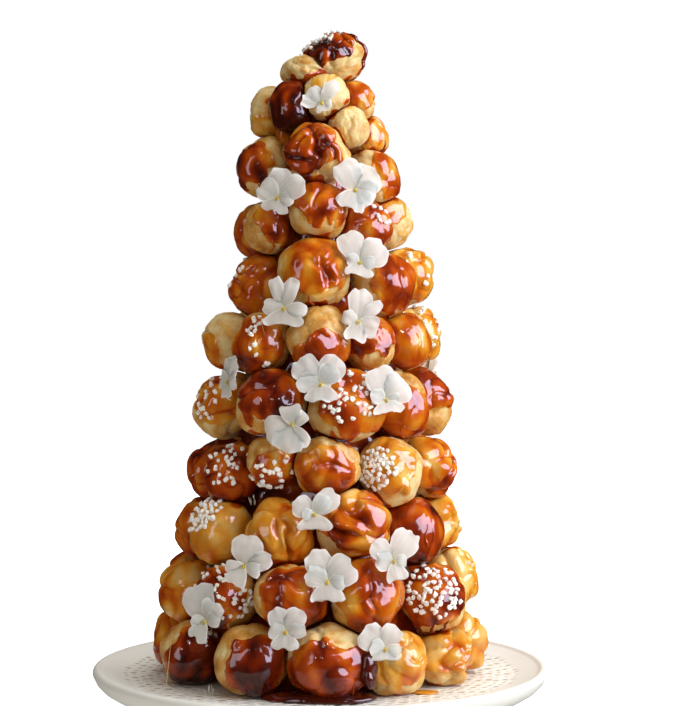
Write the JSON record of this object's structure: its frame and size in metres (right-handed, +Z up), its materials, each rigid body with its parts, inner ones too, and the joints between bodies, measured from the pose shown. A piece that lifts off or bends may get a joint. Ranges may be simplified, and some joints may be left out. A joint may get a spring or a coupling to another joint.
{
  "type": "croquembouche",
  "caption": "Tapering tower of caramel-dipped choux buns with pearl sugar and white violas, on a round ceramic plate with a lace-patterned rim.",
  "frame": {"origin": "centre of the plate's foot, on the surface that it stands on", "axes": "+Z up along the tower; -Y is the tower's front, with the most violas"},
  "size_m": [0.31, 0.31, 0.4522],
  "materials": {
    "caramelled_choux": "golden baked choux crust under glossy amber to dark red-brown caramel",
    "petal": "soft white petals with a small yellow eye",
    "glaze": "glossy off-white glaze, pierced-lace dimples in fawn"
  },
  "bodies": {
    "root": {"bun_ring_01": "caramelled_choux", "bun_ring_02": "caramelled_choux", "bun_ring_03": "caramelled_choux", "bun_ring_04": "caramelled_choux", "bun_ring_05": "caramelled_choux", "bun_ring_06": "caramelled_choux", "bun_ring_07": "caramelled_choux", "bun_ring_08": "caramelled_choux", "bun_ring_09": "caramelled_choux", "bun_ring_10": "caramelled_choux", "crown_buns": "caramelled_choux", "plate": "glaze", "viola_01": "petal", "viola_02": "petal", "viola_03": "petal", "viola_04": "petal", "viola_05": "petal", "viola_06": "petal", "viola_07": "petal", "viola_08": "petal", "viola_09": "petal", "viola_10": "petal", "viola_11": "petal", "viola_12": "petal", "viola_13": "petal", "viola_14": "petal", "viola_15": "petal", "viola_16": "petal", "viola_17": "petal", "viola_18": "petal", "viola_19": "petal", "viola_20": "petal", "viola_21": "petal", "viola_22": "petal", "viola_23": "petal", "viola_24": "petal"}
  },
  "joints": []
}
